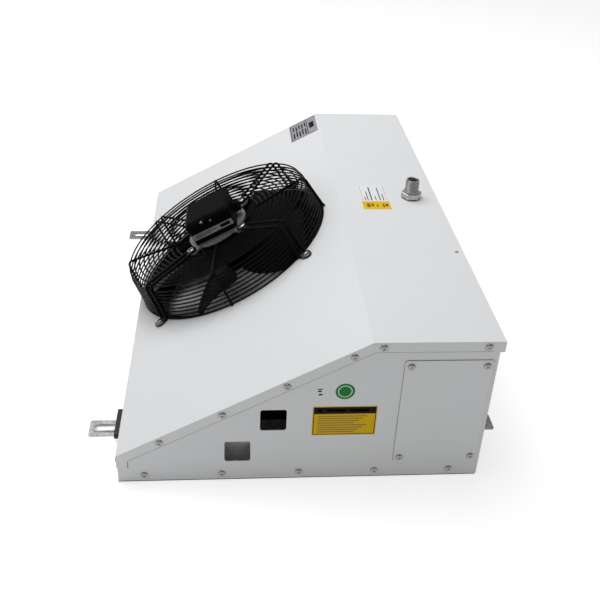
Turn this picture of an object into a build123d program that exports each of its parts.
"""Ceiling-hung unit cooler with one axial fan on its slanted face.

The cooler lies on its ceiling face: X runs from the low front edge to the coil face at the back,
Y across the cabinet from the service side to the far side, and Z up. In use it is turned over.
Millimetres. The origin is at the middle of the ceiling face, under the hanging brackets.
"""
import os
from math import atan2, cos, radians, sin, tan

from build123d import *

os.makedirs("parts", exist_ok=True)

# ---- driving dimensions -------------------------------------------------------------------------
length = 585                 # ceiling face, front edge to coil face
width = 970                  # over the hood's side flanges
height = 269                 # drain face above the brackets' ceiling side
front_height = 55            # front edge of the slanted face
flat_length = 193            # drain face, ridge to back
rear_lip = 6.6               # the hood reaches past the side panels
sheet = 1.2                  # painted steel
panel_gap = 0.2              # between the hood and the panels inside it
bracket_sheet = 2.0          # galvanised brackets lift the cabinet by their own thickness
flange = 17.5                # hood flange down the side panels
flange_bottom = 30           # the front flange stops here

fan_slope = 211              # fan centre, measured up the slope from the front edge
fan_opening_r = 201
throat_r = 178                # bell-mouth, inside the opening
blade_tip_r = 173
rotor_r = 51
blade_count = 5
blade_start = -47             # angle of the first blade's root

guard_base_r = 204
guard_shoulder_r = 197
guard_shoulder_h = 74
guard_foot_r = 217
ring_wire = 2.6
spoke_wire = 3.4
ring_sides = 24              # straight lengths that draw one wire ring

# ---- derived frame ------------------------------------------------------------------------------
front_x = -length / 2
back_x = length / 2
ridge_x = back_x - flat_length
side_y = width / 2 - sheet            # outer face of each side panel
slope = atan2(height - front_height, length - flat_length)
slope_dir = Vector(cos(slope), 0, sin(slope))
slope_normal = Vector(-sin(slope), 0, cos(slope))
slant = Plane(origin=(front_x, 0, front_height), x_dir=slope_dir, z_dir=slope_normal)
fan_plane = Plane(origin=slant.from_local_coords((fan_slope, 0, 0)), x_dir=slope_dir, z_dir=slope_normal)
fan_axis = Axis(fan_plane.origin, fan_plane.z_dir)


def side_plane(y):
    """Upright plane across the cabinet: local X is the row's X, local Y its Z. It faces -Y."""
    return Plane(origin=(0, y, 0), x_dir=(1, 0, 0), z_dir=(0, -1, 0))


def fan_section(angle):
    """Plane through the fan's axis: local X runs outwards at this angle, local Y out of the cabinet."""
    outwards = fan_plane.x_dir * cos(radians(angle)) + fan_plane.y_dir * sin(radians(angle))
    return Plane(origin=fan_plane.origin, x_dir=outwards, z_dir=outwards.cross(fan_plane.z_dir))


def slant_height(x):
    """Height of the slanted face's outer surface at this X."""
    return front_height + (x - front_x) * sin(slope) / cos(slope)


def keep(part, label):
    """Name a finished piece and write it."""
    part.label = label
    export_step(part, f"parts/{label}.step")


# ---- where the screws sit -----------------------------------------------------------------------
screw_hole_r = 2.3
slope_screws = [74, 186, 298, 410]                 # up the slope, along the side flanges
flat_screws = [ridge_x + 15, back_x - 19]
base_screws = [front_x + 43 + step * (length - 91) / 4 for step in range(5)]
base_screw_z = 14
flange_screw_depth = 9.5
front_screws = [y * (side_y - 12) / 2 for y in (-2, -1, 0, 1, 2)]
front_screw_z = 38


def flange_screw_points():
    """Screws of one side flange, as (X, Z)."""
    points = []
    for run in slope_screws:
        spot = slant.from_local_coords((run, 0, -flange_screw_depth))
        points.append((spot.X, spot.Z))
    points += [(x, height - flange_screw_depth) for x in flat_screws]
    return points


base_screw_points = [(x, base_screw_z) for x in base_screws]

# ---- access cover, knock-outs and brackets ------------------------------------------------------
cover_centre = (front_x + 510.5, 133.5)
cover_size = (137, 203)
cover_overlap = 12
cover_sheet = 1.5
cover_screw_points = [(cover_centre[0] + i * 58.5, cover_centre[1] + j * 91) for i in (-1, 1) for j in (-1, 1)]
knock_out = 41
upper_knock_out = (front_x + 246.5, 123)
lower_knock_out = (front_x + 191, 60)

bracket_y = 355              # brackets' centre lines, either side of the middle
bracket_width = 40
bracket_out = 62             # how far each bracket reaches past the cabinet
bracket_in = 110
slot_centre_out = 34
slot_length = 32
slot_width = 11

# ---- hood: slanted fan panel, drain face and flanges in one bent sheet ---------------------------
hood_outline = [
    (front_x, -100),
    (front_x, front_height),
    (ridge_x, height),
    (back_x + rear_lip, height),
    (back_x + rear_lip, -100),
]


def hood_band(plane, depth):
    """Strip of this depth that follows the hood's bends, cut off above the front and rear edges."""
    with BuildSketch(plane) as band:
        with BuildLine():
            Polyline(*hood_outline, close=True)
        make_face()
        offset(amount=-depth, kind=Kind.INTERSECTION, mode=Mode.SUBTRACT)
        with Locations((-100, flange_bottom - 150)):
            Rectangle(2 * length, 300, mode=Mode.SUBTRACT)
        with Locations((back_x, height - flange - 1.5 - 150)):
            Rectangle(2 * (flat_length - 60), 300, mode=Mode.SUBTRACT)
    return band.sketch


drain_x = front_x + 539
drain_y = 12
drain_hole_r = 13.6

with BuildPart() as hood:
    extrude(hood_band(side_plane(width / 2), sheet), amount=width)
    for y in (width / 2, -side_y):
        extrude(hood_band(side_plane(y), flange), amount=sheet)
    with BuildSketch(fan_plane.offset(1)):
        Circle(fan_opening_r)
        with PolarLocations(guard_foot_r, 4, start_angle=45):
            Circle(screw_hole_r)
    extrude(amount=-2 - sheet, mode=Mode.SUBTRACT)
    with BuildSketch(Plane.XY.offset(height + 1)):
        with Locations((drain_x, drain_y)):
            Circle(drain_hole_r)
    extrude(amount=-3, mode=Mode.SUBTRACT)
    with BuildSketch(side_plane(width / 2 + 1)):
        with Locations(*flange_screw_points()):
            Circle(screw_hole_r)
    extrude(amount=width + 2, mode=Mode.SUBTRACT)
    with BuildSketch(Plane.YZ.offset(front_x - 1)):
        with Locations(*[(y, front_screw_z) for y in front_screws]):
            Circle(screw_hole_r)
    extrude(amount=sheet + 2, mode=Mode.SUBTRACT)
keep(hood.part, "hood")


# ---- side panels --------------------------------------------------------------------------------
hood_inner = sheet + panel_gap
panel_outline = [
    (front_x + hood_inner, bracket_sheet),
    (front_x + hood_inner, slant_height(front_x + hood_inner) - hood_inner / cos(slope)),
    (ridge_x + hood_inner * tan(slope / 2), height - hood_inner),
    (back_x, height - hood_inner),
    (back_x, bracket_sheet),
]


def side_panel(outer_y):
    """Side panel on the service side (outer_y negative) or the far side, with a return at the coil face."""
    inwards = -1 if outer_y > 0 else 1
    start_y = max(outer_y, outer_y + inwards * sheet)
    with BuildPart() as panel:
        with BuildSketch(side_plane(start_y)):
            with BuildLine():
                Polyline(*panel_outline, close=True)
            make_face()
            with Locations(*flange_screw_points(), *base_screw_points):
                Circle(screw_hole_r, mode=Mode.SUBTRACT)
        extrude(amount=sheet)
        with BuildSketch(Plane.YZ.offset(back_x - sheet)):
            with Locations((outer_y + inwards * 10, (height + bracket_sheet) / 2 - 4)):
                Rectangle(20, height - 40)
        extrude(amount=sheet)
    return panel


with BuildPart() as near_side_panel:
    add(side_panel(-side_y).part)
    with BuildSketch(side_plane(-side_y + 3)):
        with Locations(upper_knock_out, lower_knock_out):
            RectangleRounded(knock_out, knock_out, 4)
        with Locations(cover_centre):
            RectangleRounded(cover_size[0] - 2 * cover_overlap, cover_size[1] - 2 * cover_overlap, 4)
        with Locations(*cover_screw_points):
            Circle(screw_hole_r)
    extrude(amount=6, mode=Mode.SUBTRACT)
keep(near_side_panel.part, "near_side_panel")

far_side_panel = side_panel(side_y)
keep(far_side_panel.part, "far_side_panel")

with BuildPart() as access_cover:
    with BuildSketch(side_plane(-side_y)):
        with Locations(cover_centre):
            RectangleRounded(*cover_size, 5)
        with Locations(*cover_screw_points):
            Circle(screw_hole_r, mode=Mode.SUBTRACT)
    extrude(amount=cover_sheet)
keep(access_cover.part, "access_cover")

# ---- ceiling panel, a shallow tray that the side panels and the hood close -----------------------
ceiling_half = side_y - sheet
ceiling_flange = 24

with BuildPart() as ceiling_panel:
    with BuildSketch(Plane.XY.offset(bracket_sheet)):
        with Locations((sheet / 2, 0)):
            Rectangle(length - sheet, 2 * ceiling_half)
    extrude(amount=sheet)
    for y in (-ceiling_half + sheet, ceiling_half):
        with BuildSketch(side_plane(y)):
            with Locations((0, bracket_sheet + ceiling_flange / 2)):
                Rectangle(length - 40, ceiling_flange)
            with Locations(*base_screw_points):
                Circle(screw_hole_r, mode=Mode.SUBTRACT)
        extrude(amount=sheet)
    with BuildSketch(Plane.YZ.offset(front_x + sheet)):
        with Locations((0, bracket_sheet + 22)):
            Rectangle(2 * ceiling_half - 8, 44)
        with Locations(*[(y, front_screw_z) for y in front_screws]):
            Circle(screw_hole_r, mode=Mode.SUBTRACT)
    extrude(amount=sheet)
    with BuildSketch(Plane.XY.offset(bracket_sheet - 1)):
        for end in (-1, 1):
            for y in (-bracket_y, bracket_y):
                with Locations((end * (back_x - 30), y), (end * (back_x - 80), y)):
                    Circle(screw_hole_r)
    extrude(amount=sheet + 2, mode=Mode.SUBTRACT)
keep(ceiling_panel.part, "ceiling_panel")


# ---- hanging brackets: slotted, with a pressed rib, flat on the ceiling ---------------------------
def hanging_bracket(end, y):
    """Bracket at the front (end = -1) or the back (end = 1) of the cabinet."""
    middle = end * (back_x + (bracket_out - bracket_in) / 2)
    outer = end * (back_x + slot_centre_out)
    with BuildPart() as bracket:
        with BuildSketch():
            with Locations((middle, y)):
                RectangleRounded(bracket_out + bracket_in, bracket_width, 4)
            with Locations((outer, y)):
                SlotOverall(slot_length, slot_width, mode=Mode.SUBTRACT)
            with Locations((end * (back_x - 30), y), (end * (back_x - 80), y)):
                Circle(screw_hole_r, mode=Mode.SUBTRACT)
        extrude(amount=bracket_sheet)
        with BuildSketch(Plane.XY.offset(bracket_sheet)):
            with Locations((outer, y)):
                SlotOverall(slot_length + 14, slot_width + 10)
                SlotOverall(slot_length + 8, slot_width + 4, mode=Mode.SUBTRACT)
        extrude(amount=1.2)
    return bracket.part


for end, end_name in ((-1, "front"), (1, "rear")):
    for y, side_name in ((-bracket_y, "near"), (bracket_y, "far")):
        keep(hanging_bracket(end, y), f"{end_name}_{side_name}_bracket")

with BuildPart() as bracket_buffer:
    with BuildSketch(Plane.YZ.offset(front_x + sheet)):
        with Locations((-bracket_y, bracket_sheet + 9)):
            SlotOverall(72, 11)
    extrude(amount=-17)
    chamfer(bracket_buffer.faces().sort_by(Axis.X)[0].edges(), 1.5)
keep(bracket_buffer.part, "bracket_buffer")

# ---- bell-mouth behind the fan opening -----------------------------------------------------------
with BuildPart() as bell_mouth:
    with BuildSketch(fan_section(0)):
        with BuildLine():
            Polyline(
                (fan_opening_r + 7, -sheet - 0.7),
                (fan_opening_r, -sheet - 0.7),
                (throat_r + 10, -sheet - 5),
                (throat_r + 3, -sheet - 12),
                (throat_r, -sheet - 22),
                (throat_r, -52),
            )
        trace(line_width=sheet)
    revolve(axis=fan_axis)
keep(bell_mouth.part, "bell_mouth")


# ---- wire guard: closely spaced rings welded under heavier spokes --------------------------------
def wire_ring(radius, level, wire):
    """One ring of the guard: its outer radius, and the level of its middle above the panel."""
    with BuildSketch(fan_plane.offset(level - wire / 2)) as ring:
        RegularPolygon(radius, ring_sides)
        RegularPolygon(radius - wire, ring_sides, mode=Mode.SUBTRACT)
    extrude(ring.sketch, amount=wire)


def spoke(plane, inner_r, bottom_r):
    """One spoke, bent over the shoulder and down the side to the panel."""
    with BuildSketch(plane) as run:
        with BuildLine():
            Polyline(
                (inner_r, flange_top + spoke_wire / 2),
                (88, flange_top + spoke_wire / 2),
                (guard_shoulder_r - 9, guard_shoulder_h + 1),
                (guard_shoulder_r, guard_shoulder_h - 3),
                (guard_base_r, 5),
                (guard_base_r + 2, spoke_wire / 2),
                (bottom_r, spoke_wire / 2),
            )
        trace(line_width=spoke_wire)
    extrude(run.sketch, amount=spoke_wire / 2, both=True)


flange_level = 57
flange_thick = 4
flange_top = flange_level + flange_thick
lug_screw_r = 78
pair_half_gap = 8.5
side_ring_count = 8
top_ring_count = 11
top_inner_r = 92

with BuildPart() as wire_guard:
    wire_ring(guard_base_r, ring_wire / 2, ring_wire)
    for number in range(side_ring_count):
        share = (number + 1) / (side_ring_count + 1)
        ring_r = guard_base_r - share * (guard_base_r - guard_shoulder_r)
        wire_ring(ring_r, ring_wire / 2 + share * (guard_shoulder_h - 6), ring_wire)
    for number in range(top_ring_count):
        share = number / (top_ring_count - 1)
        ring_r = top_inner_r + share * (guard_shoulder_r - 4 - top_inner_r)
        wire_ring(ring_r, flange_top + share * 11.6, ring_wire)
    for angle in (0, 90, 180, 270):
        spoke(fan_section(angle), 84, guard_base_r + 4)
    for angle in (45, 135, 225, 315):
        for side in (-1, 1):
            spoke(fan_section(angle).offset(side * pair_half_gap), lug_screw_r, guard_foot_r)
    for eye_r, level in ((guard_foot_r, 0), (lug_screw_r, flange_top)):
        with BuildSketch(fan_plane.offset(level)):
            with PolarLocations(eye_r, 4, start_angle=45):
                Circle(pair_half_gap + spoke_wire / 2)
                Circle(pair_half_gap - spoke_wire / 2, mode=Mode.SUBTRACT)
        extrude(amount=spoke_wire)
keep(wire_guard.part, "wire_guard")

# ---- motor: outer-rotor type, held by its flange under the guard's spokes ------------------------
lug_r = 70

with BuildPart() as stator_flange:
    with BuildSketch(fan_plane.offset(flange_level)):
        Circle(62)
        with PolarLocations(lug_r, 4, start_angle=45):
            RectangleRounded(36, 24, 8)
        Circle(6.5, mode=Mode.SUBTRACT)
        with PolarLocations(lug_screw_r, 4, start_angle=45):
            Circle(screw_hole_r, mode=Mode.SUBTRACT)
    extrude(amount=flange_thick)
    with BuildSketch(fan_plane.offset(6)):
        Circle(18)
        Circle(11, mode=Mode.SUBTRACT)
    extrude(until=Until.NEXT)
keep(stator_flange.part, "stator_flange")

with BuildPart() as stator_core:
    with BuildSketch(fan_plane.offset(8)):
        Circle(43)
        Circle(18, mode=Mode.SUBTRACT)
        with PolarLocations(34, 12):
            Rectangle(16, 7, mode=Mode.SUBTRACT)
    extrude(amount=32)
keep(stator_core.part, "stator_core")

for level, name in ((8, "inner_bearing"), (40, "outer_bearing")):
    with BuildPart() as bearing:
        with BuildSketch(fan_plane.offset(level)):
            Circle(11)
            Circle(6.05, mode=Mode.SUBTRACT)
        extrude(amount=8)
    keep(bearing.part, name)

with BuildPart() as motor_shaft:
    with BuildSketch(fan_plane.offset(-1)):
        Circle(6)
    extrude(amount=56)
    chamfer(motor_shaft.faces().sort_by(fan_axis)[-1].edges(), 0.8)
keep(motor_shaft.part, "motor_shaft")

with BuildPart() as rotor_can:
    with BuildSketch(fan_plane.offset(-6)):
        Circle(rotor_r - 3)
    extrude(amount=56)
    with BuildSketch(fan_plane.offset(0)):
        Circle(rotor_r - 6)
    extrude(amount=51, mode=Mode.SUBTRACT)
    with BuildSketch(fan_plane.offset(-1)):
        Circle(6)
    extrude(amount=2, mode=Mode.SUBTRACT)
    chamfer(rotor_can.faces().sort_by(fan_axis)[0].edges(), 3)
keep(rotor_can.part, "rotor_can")

# ---- junction box on the motor -------------------------------------------------------------------
box_size = (90, 92)
box_centre = (0, 4)
box_level = flange_top
box_depth = 34
lid_depth = 14

with BuildPart() as junction_box:
    with BuildSketch(fan_plane.offset(box_level)):
        with Locations(box_centre):
            RectangleRounded(*box_size, 6)
    extrude(amount=box_depth)
    with BuildSketch(fan_plane.offset(box_level + 3)):
        with Locations(box_centre):
            RectangleRounded(box_size[0] - 6, box_size[1] - 6, 4)
    extrude(amount=box_depth, mode=Mode.SUBTRACT)
    with BuildSketch(Plane(fan_plane.from_local_coords((box_size[0] / 2 + 1, 10, box_level + 17)),
                           x_dir=fan_plane.y_dir, z_dir=-fan_plane.x_dir)):
        Circle(8)
    extrude(amount=6, mode=Mode.SUBTRACT)
keep(junction_box.part, "junction_box")

with BuildPart() as junction_box_lid:
    with BuildSketch(fan_plane.offset(box_level + box_depth)):
        with Locations(box_centre):
            RectangleRounded(box_size[0] + 2, box_size[1] + 2, 6)
    extrude(amount=lid_depth)
    chamfer(junction_box_lid.faces().sort_by(fan_axis)[-1].edges(), 5)
keep(junction_box_lid.part, "junction_box_lid")

with BuildPart() as cable_gland:
    with BuildSketch(Plane(fan_plane.from_local_coords((box_size[0] / 2 - 3, 10, box_level + 17)),
                           x_dir=fan_plane.y_dir, z_dir=fan_plane.x_dir)):
        Circle(8)
    extrude(amount=6)
    with BuildSketch(Plane(fan_plane.from_local_coords((box_size[0] / 2, 10, box_level + 17)),
                           x_dir=fan_plane.y_dir, z_dir=fan_plane.x_dir)):
        RegularPolygon(11, 6)
        Circle(5, mode=Mode.SUBTRACT)
    extrude(amount=14)
keep(cable_gland.part, "cable_gland")


# ---- impeller: five swept, twisted blades on a hub band around the rotor --------------------------
def blade_section(radius, chord, pitch, sweep, number):
    """Plane and outline of a blade's cambered cross-section at one radius."""
    angle = blade_start + 360 / blade_count * number + sweep
    outwards = fan_plane.x_dir * cos(radians(angle)) + fan_plane.y_dir * sin(radians(angle))
    around = fan_plane.z_dir.cross(outwards)
    lean = around * cos(radians(pitch)) + fan_plane.z_dir * sin(radians(pitch))
    centre = fan_plane.origin + outwards * radius + fan_plane.z_dir * 4
    with BuildSketch(Plane(origin=centre, x_dir=lean, z_dir=outwards)) as section:
        camber = chord * 0.07
        with BuildLine():
            Polyline(
                (-chord / 2, 0),
                (-chord / 6, camber + 1.2),
                (chord / 6, camber + 1.2),
                (chord / 2, 0.4),
                (chord / 6, camber - 1.2),
                (-chord / 6, camber - 1.2),
                close=True,
            )
        make_face()
    return section.sketch


with BuildPart() as impeller:
    with BuildSketch(fan_plane.offset(-20)):
        Circle(rotor_r)
        Circle(rotor_r - 3, mode=Mode.SUBTRACT)
    extrude(amount=52)
    for number in range(blade_count):
        loft(
            sections=[
                blade_section(rotor_r - 1.5, 66, 38, 0, number),
                blade_section(110, 106, 30, 8, number),
                blade_section(blade_tip_r, 138, 23, 20, number),
            ],
            ruled=True,
        )
    with BuildSketch(fan_plane.offset(-60)):
        Circle(2 * blade_tip_r)
        Circle(blade_tip_r, mode=Mode.SUBTRACT)
        Circle(rotor_r - 3)
    extrude(amount=120, mode=Mode.SUBTRACT)
keep(impeller.part, "impeller")

# ---- coil: plate fins on tubes, between two end plates -------------------------------------------
coil_half = 418
coil_front = ridge_x + 10
coil_back = back_x - 16
coil_bottom = bracket_sheet + sheet + 8
coil_top = height - sheet - 26
fin_count = 100
fin_thick = 0.6
tube_r = 6.2
tube_columns = 3
tube_rows = 4
tube_pitch_x = 46
tube_pitch_z = 50
coil_middle = ((coil_front + coil_back) / 2, (coil_bottom + coil_top) / 2)

with BuildPart() as coil_fins:
    with BuildSketch(side_plane(-coil_half + 10)):
        with Locations(coil_middle):
            Rectangle(coil_back - coil_front, coil_top - coil_bottom)
    extrude(amount=fin_thick)
    blank = coil_fins.part
    pitch = (2 * coil_half - 20) / (fin_count - 1)
    add([blank.moved(Location((0, pitch * number, 0))) for number in range(1, fin_count)])
keep(coil_fins.part, "coil_fins")


def end_plate(y):
    """Galvanised plate that closes the air path at one end of the coil and carries its tubes."""
    inset = 6
    with BuildPart() as plate:
        with BuildSketch(side_plane(y)):
            with BuildLine():
                Polyline(
                    (front_x + 20, bracket_sheet + sheet),
                    (front_x + 20, slant_height(front_x + 20) - inset),
                    (ridge_x, height - 3 * inset - 6),
                    (back_x - 8, height - 3 * inset - 6),
                    (back_x - 8, bracket_sheet + sheet),
                    close=True,
                )
            make_face()
            with Locations(coil_middle):
                with GridLocations(tube_pitch_x, tube_pitch_z, tube_columns, tube_rows):
                    Circle(tube_r, mode=Mode.SUBTRACT)
        extrude(amount=sheet)
    return plate.part


keep(end_plate(-coil_half + sheet), "near_end_plate")
keep(end_plate(coil_half), "far_end_plate")

with BuildPart() as coil_tubes:
    with BuildSketch(side_plane(coil_half + 12)):
        with Locations(coil_middle):
            with GridLocations(tube_pitch_x, tube_pitch_z, tube_columns, tube_rows):
                Circle(tube_r)
    extrude(amount=2 * coil_half + 24)
keep(coil_tubes.part, "coil_tubes")


bend_lengths = 6             # straight lengths that draw one return bend
bend_straight = 2            # straight end of each bend, against the tube


def return_bends(y, direction, first_row):
    """Return bends at one end of the coil, each joining two tubes of a column."""
    with BuildPart() as bends:
        for column in range(tube_columns):
            x = coil_middle[0] + (column - (tube_columns - 1) / 2) * tube_pitch_x
            for row in range(first_row, tube_rows - 1, 2):
                z = coil_middle[1] + (row - (tube_rows - 1) / 2) * tube_pitch_z
                turns = [radians(180 * step / bend_lengths) for step in range(bend_lengths + 1)]
                half_pitch = tube_pitch_z / 2
                with BuildLine() as path:
                    Polyline(
                        (x, y, z),
                        *[
                            (x, y + direction * (bend_straight + half_pitch * sin(turn)),
                             z + half_pitch * (1 - cos(turn)))
                            for turn in turns
                        ],
                        (x, y, z + tube_pitch_z),
                    )
                with BuildSketch(Plane(origin=(x, y, z), x_dir=(1, 0, 0), z_dir=(0, direction, 0))) as mouth:
                    RegularPolygon(tube_r, 8)
                sweep(mouth.sketch, path=path.wires()[0], transition=Transition.RIGHT)
    return bends.part


keep(return_bends(-coil_half - 12, -1, 1), "near_return_bends")
keep(return_bends(coil_half + 12, 1, 0), "far_return_bends")

# ---- headers in the service compartment, each joining the tube ends of one row --------------------
header_y = -side_y + 28
header_length = 2 * tube_pitch_x + 34
stub_length = 62


def header(label, row, header_r, stub_r):
    """Closed pipe along X with a stub to each tube of its row, and a pipe end towards the front."""
    z = coil_middle[1] + (row - (tube_rows - 1) / 2) * tube_pitch_z
    back_end = coil_middle[0] + header_length / 2
    with BuildPart() as pipe:
        with BuildSketch(Plane.YZ.offset(back_end)):
            with Locations((header_y, z)):
                Circle(header_r)
        extrude(amount=-header_length)
        with BuildSketch(Plane.YZ.offset(back_end - header_length)):
            with Locations((header_y, z)):
                Circle(stub_r)
        extrude(amount=-stub_length)
        with BuildSketch(side_plane(-coil_half - 12)):
            with Locations((coil_middle[0], z)):
                with GridLocations(tube_pitch_x, 1, tube_columns, 1):
                    Circle(4.5)
        extrude(amount=abs(header_y) - coil_half - 12)
    keep(pipe.part, label)


header("suction_header", tube_rows - 1, 11, 7.94)
header("liquid_header", 0, 8, 4.76)

# ---- terminal box behind the upper knock-out -----------------------------------------------------
with BuildPart() as terminal_box:
    with BuildSketch(side_plane(-coil_half)):
        with Locations((upper_knock_out[0] - 2, upper_knock_out[1] - 4)):
            RectangleRounded(78, 62, 5)
    extrude(amount=26)
    chamfer(terminal_box.faces().sort_by(Axis.Y)[0].edges(), 3)
keep(terminal_box.part, "terminal_box")

# ---- inner drip tray and drain fitting -----------------------------------------------------------
tray_top = height - sheet
with BuildPart() as drip_tray:
    with BuildSketch(Plane.XY.offset(tray_top)):
        with Locations(((ridge_x + back_x) / 2 + 4, 0)):
            Rectangle(flat_length - 16, 2 * side_y - 60)
    extrude(amount=-18)
    offset(amount=-1, openings=drip_tray.faces().sort_by(Axis.Z)[0])
    with BuildSketch(Plane.XY.offset(tray_top + 1)):
        with Locations((drain_x, drain_y)):
            Circle(drain_hole_r)
    extrude(amount=-4, mode=Mode.SUBTRACT)
keep(drip_tray.part, "drip_tray")

thread_r = 13.2
drain_bore_r = 9.8
with BuildPart() as drain_gasket:
    with BuildSketch(Plane.XY.offset(height)):
        with Locations((drain_x, drain_y)):
            Circle(20)
            Circle(drain_hole_r, mode=Mode.SUBTRACT)
    extrude(amount=1.5)
keep(drain_gasket.part, "drain_gasket")

with BuildPart() as drain_spigot:
    with BuildSketch(Plane.XY.offset(height + 1.5)):
        with Locations((drain_x, drain_y)):
            RegularPolygon(20.5, 6)
    extrude(amount=9)
    chamfer(drain_spigot.faces().sort_by(Axis.Z)[-1].edges(), 1)
    with BuildSketch(Plane.XY.offset(height - 14)):
        with Locations((drain_x, drain_y)):
            Circle(thread_r)
    extrude(amount=14 + 39)
    with BuildSketch(Plane.XY.offset(height - 15)):
        with Locations((drain_x, drain_y)):
            Circle(drain_bore_r)
    extrude(amount=60, mode=Mode.SUBTRACT)
keep(drain_spigot.part, "drain_spigot")

with BuildPart() as drain_locknut:
    with BuildSketch(Plane.XY.offset(tray_top - 1)):
        with Locations((drain_x, drain_y)):
            RegularPolygon(19, 6)
            Circle(thread_r + 0.05, mode=Mode.SUBTRACT)
    extrude(amount=-6)
keep(drain_locknut.part, "drain_locknut")


# ---- fasteners -----------------------------------------------------------------------------------
def screw_group(label, seats, head_r, head_height, shank):
    """Identical screws, one on each seat plane, which faces the way the head stands."""
    with BuildPart() as group:
        for seat in seats:
            with BuildSketch(seat):
                RegularPolygon(head_r, 12)
            extrude(amount=head_height, taper=12)
            with BuildSketch(seat):
                RegularPolygon(2, 6)
            extrude(amount=-shank)
    keep(group.part, label)


def side_seats(points, y):
    """Seats on a side of the cabinet, facing away from its middle."""
    facing = -1 if y < 0 else 1
    return [Plane(origin=(x, y, z), x_dir=(1, 0, 0), z_dir=(0, facing, 0)) for x, z in points]


hood_seats = side_seats(flange_screw_points(), -width / 2) + side_seats(flange_screw_points(), width / 2)
base_seats = side_seats(base_screw_points, -side_y) + side_seats(base_screw_points, side_y)
front_seats = [Plane(origin=(front_x, y, front_screw_z), x_dir=(0, 1, 0), z_dir=(-1, 0, 0)) for y in front_screws]
foot_seats = [
    Plane(fan_plane.from_local_coords((guard_foot_r * cos(radians(a)), guard_foot_r * sin(radians(a)), 0)),
          x_dir=fan_plane.x_dir, z_dir=fan_plane.z_dir)
    for a in (45, 135, 225, 315)
]
lug_seats = [
    Plane(fan_plane.from_local_coords((lug_screw_r * cos(radians(a)), lug_screw_r * sin(radians(a)), 0)),
          x_dir=fan_plane.x_dir, z_dir=fan_plane.z_dir).offset(flange_top + spoke_wire)
    for a in (45, 135, 225, 315)
]
bracket_seats = [
    Plane(origin=(end * (back_x - inset), y, bracket_sheet + sheet))
    for end in (-1, 1) for y in (-bracket_y, bracket_y) for inset in (30, 80)
]

screw_group("hood_screws", hood_seats, 6, 3, 8)
screw_group("base_screws", base_seats, 6, 3, 8)
screw_group("front_screws", front_seats, 6, 3, 8)
screw_group("cover_screws", side_seats(cover_screw_points, -side_y - cover_sheet), 6, 3, 8)
screw_group("motor_screws", lug_seats, 8, 3, 9)
screw_group("bracket_screws", bracket_seats, 5, 2.5, 3)
screw_group("guard_screws", [seat.offset(spoke_wire + 1.6) for seat in foot_seats], 6, 3.5, 14)

with BuildPart() as guard_washers:
    for seat in foot_seats:
        with BuildSketch(seat.offset(spoke_wire)):
            Circle(10)
            Circle(screw_hole_r, mode=Mode.SUBTRACT)
        extrude(amount=1.6)
keep(guard_washers.part, "guard_washers")
